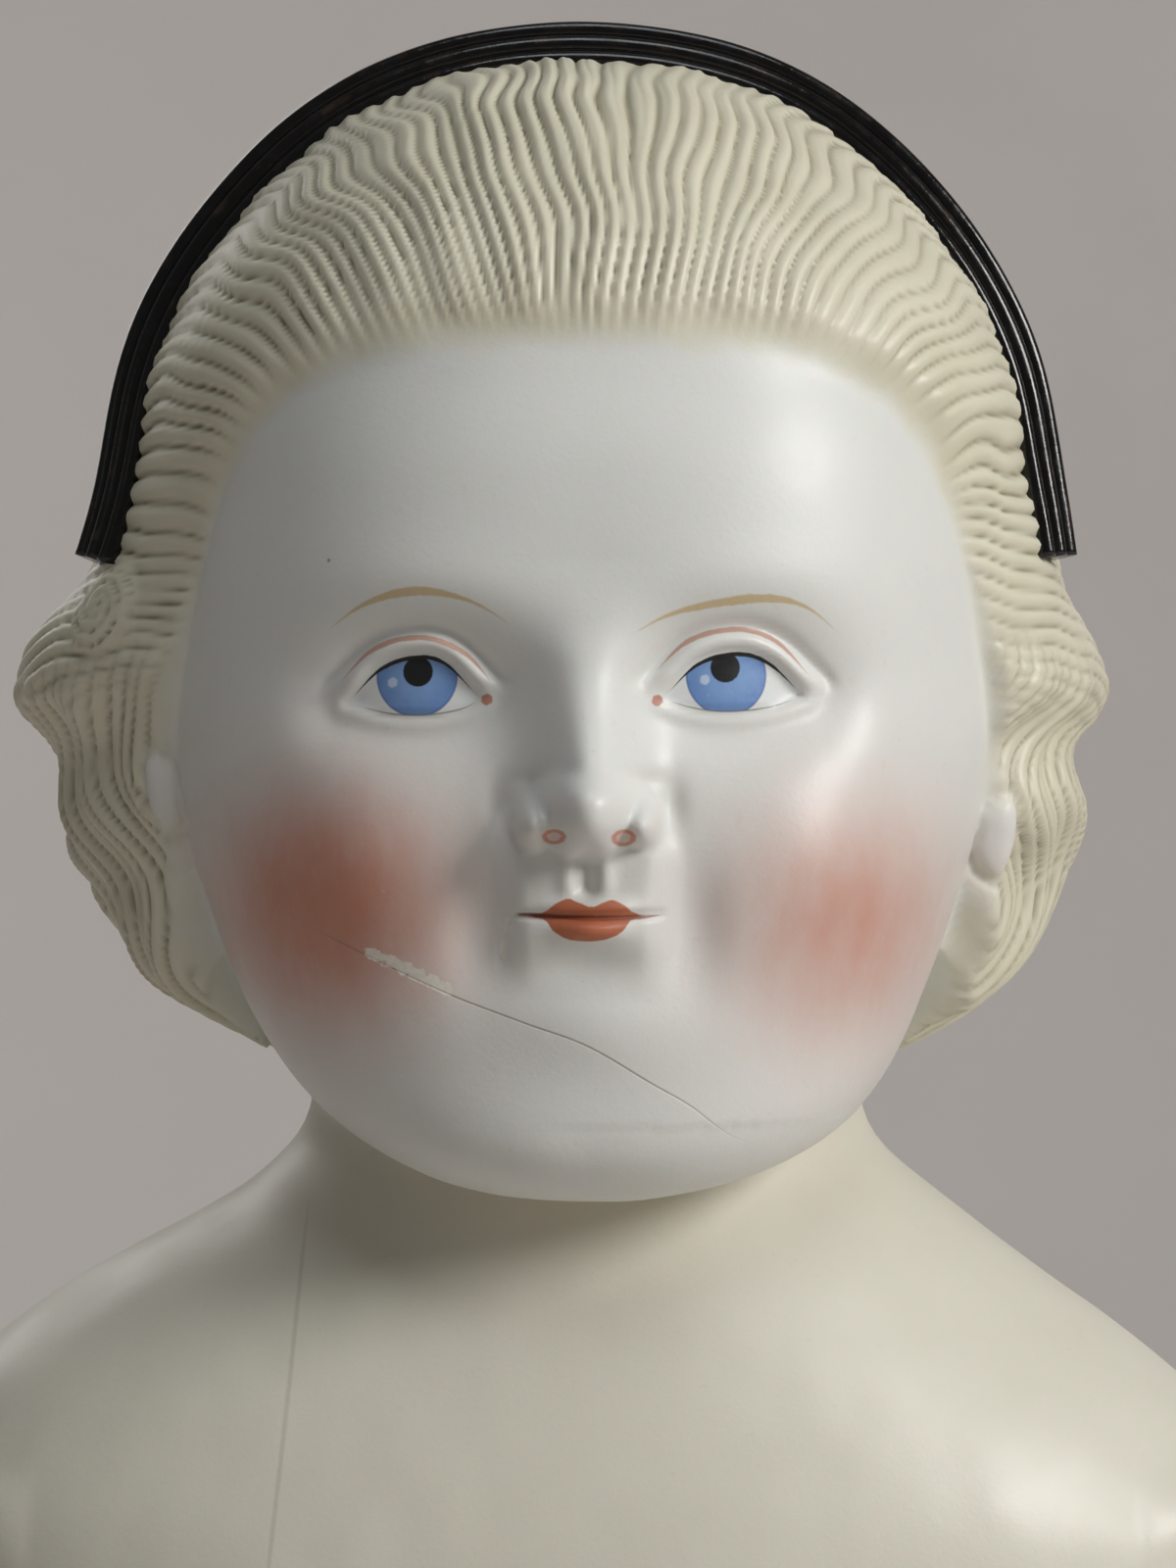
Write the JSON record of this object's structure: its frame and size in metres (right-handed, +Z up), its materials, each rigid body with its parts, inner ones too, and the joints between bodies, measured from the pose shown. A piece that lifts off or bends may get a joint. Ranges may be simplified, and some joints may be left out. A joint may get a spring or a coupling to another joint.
{
  "type": "porcelain doll",
  "caption": "Seated porcelain doll: bisque shoulder head with moulded blond hair and a black band, stuffed cotton body, bisque hands and booted lower legs, jointed limbs.",
  "frame": {"origin": "centre of the flat seat under the body, on the surface that the doll sits on", "axes": "+Z up, the face looks along -Y, +X is the doll's left side"},
  "size_m": [0.1684, 0.3526, 0.3175],
  "materials": {
    "bisque": "matte",
    "black_glaze": "gloss",
    "thread": "matte",
    "cotton": "matte",
    "sawdust": "matte"
  },
  "bodies": {
    "torso": {"shoulder_head": "bisque", "hair_band": "black_glaze", "shoulder_stitches": "thread", "torso_cover": "cotton", "torso_stuffing": "sawdust", "hip_seam_left": "thread", "shoulder_seam_left": "thread", "hip_seam_right": "thread", "shoulder_seam_right": "thread"},
    "shoulder_tab_left": {"shoulder_gusset_left": "cotton", "shoulder_spread_seam_left": "thread"},
    "upper_arm_left": {"upper_arm_cover_left": "cotton", "upper_arm_stuffing_left": "sawdust", "elbow_seam_left": "thread"},
    "forearm_left": {"forearm_cover_left": "cotton", "forearm_stuffing_left": "sawdust", "bisque_forearm_left": "bisque", "arm_binding_left": "thread"},
    "thigh_left": {"thigh_cover_left": "cotton", "thigh_stuffing_left": "sawdust", "knee_seam_left": "thread"},
    "lower_leg_left": {"calf_cover_left": "cotton", "calf_stuffing_left": "sawdust", "bisque_lower_leg_left": "bisque", "leg_binding_left": "thread"},
    "shoulder_tab_right": {"shoulder_gusset_right": "cotton", "shoulder_spread_seam_right": "thread"},
    "upper_arm_right": {"upper_arm_cover_right": "cotton", "upper_arm_stuffing_right": "sawdust", "elbow_seam_right": "thread"},
    "forearm_right": {"forearm_cover_right": "cotton", "forearm_stuffing_right": "sawdust", "bisque_forearm_right": "bisque", "arm_binding_right": "thread"},
    "thigh_right": {"thigh_cover_right": "cotton", "thigh_stuffing_right": "sawdust", "knee_seam_right": "thread"},
    "lower_leg_right": {"calf_cover_right": "cotton", "calf_stuffing_right": "sawdust", "bisque_lower_leg_right": "bisque", "leg_binding_right": "thread"}
  },
  "joints": [
    {"name": "shoulder_swing_left", "type": "hinge", "parent": "torso", "child": "shoulder_tab_left", "pos_m": [0.066, 0.004, 0.156], "axis": [1, 0, 0], "range_deg": [-95, 40]},
    {"name": "shoulder_spread_left", "type": "hinge", "parent": "shoulder_tab_left", "child": "upper_arm_left", "pos_m": [0.066, 0.004, 0.156], "axis": [0, -1, 0], "range_deg": [-3, 75]},
    {"name": "elbow_left", "type": "hinge", "parent": "upper_arm_left", "child": "forearm_left", "pos_m": [0.07158, 0.004, 0.07619], "axis": [0.9976, 0, 0.0698], "range_deg": [-34, 45]},
    {"name": "hip_left", "type": "hinge", "parent": "torso", "child": "thigh_left", "pos_m": [0.0255, -0.03, 0.012], "axis": [1, 0, 0], "range_deg": [-12, 75]},
    {"name": "knee_left", "type": "hinge", "parent": "thigh_left", "child": "lower_leg_left", "pos_m": [0.0255, -0.145, 0.0152], "axis": [1, 0, 0], "range_deg": [0, 75]},
    {"name": "shoulder_swing_right", "type": "hinge", "parent": "torso", "child": "shoulder_tab_right", "pos_m": [-0.066, 0.004, 0.156], "axis": [1, 0, 0], "range_deg": [-95, 40]},
    {"name": "shoulder_spread_right", "type": "hinge", "parent": "shoulder_tab_right", "child": "upper_arm_right", "pos_m": [-0.066, 0.004, 0.156], "axis": [0, 1, 0], "range_deg": [-3, 75]},
    {"name": "elbow_right", "type": "hinge", "parent": "upper_arm_right", "child": "forearm_right", "pos_m": [-0.07158, 0.004, 0.07619], "axis": [0.9976, 0, -0.0698], "range_deg": [-34, 45]},
    {"name": "hip_right", "type": "hinge", "parent": "torso", "child": "thigh_right", "pos_m": [-0.0255, -0.03, 0.012], "axis": [1, 0, 0], "range_deg": [-12, 75]},
    {"name": "knee_right", "type": "hinge", "parent": "thigh_right", "child": "lower_leg_right", "pos_m": [-0.0255, -0.145, 0.0152], "axis": [1, 0, 0], "range_deg": [0, 75]}
  ]
}
